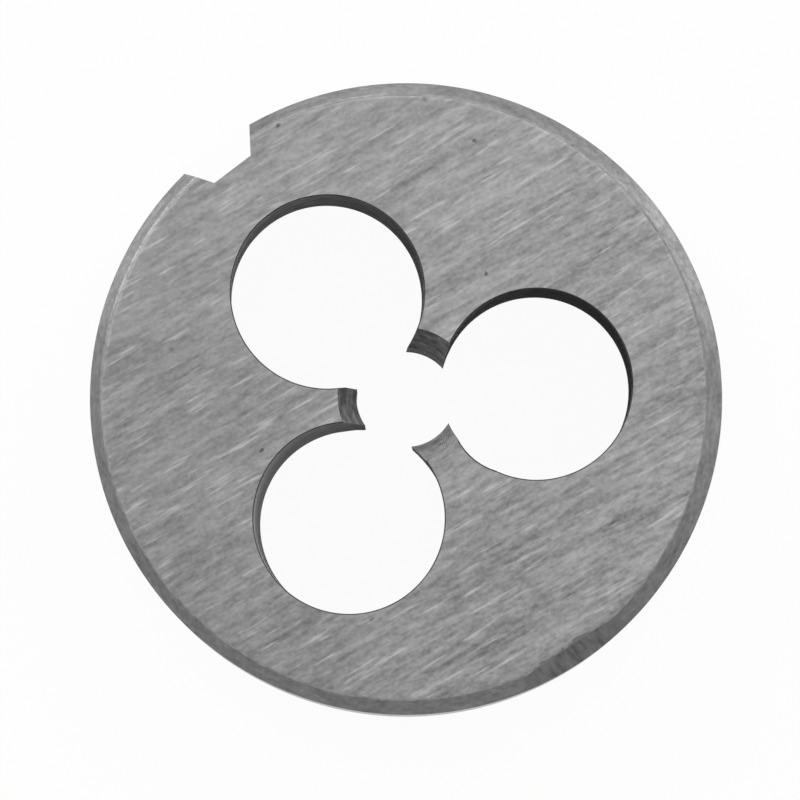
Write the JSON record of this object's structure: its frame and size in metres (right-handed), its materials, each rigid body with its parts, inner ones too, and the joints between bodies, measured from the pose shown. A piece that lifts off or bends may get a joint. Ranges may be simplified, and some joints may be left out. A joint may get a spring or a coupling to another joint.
{
  "type": "round threading die",
  "caption": "Solid round threading die: a thick steel disc with a threaded bore, chip holes that open into it, a notch across its chamfered rim and set-screw dimples.",
  "frame": {"origin": "on the thread axis, in the plane of the back face that the die rests on", "axes": "+Z along the thread axis, out of the front face; +Y towards the adjusting notch"},
  "size_m": [0.016, 0.0159, 0.005],
  "materials": {
    "tool_steel": "surface-ground hardened tool steel"
  },
  "bodies": {
    "root": {"round_die": "tool_steel"}
  },
  "joints": []
}
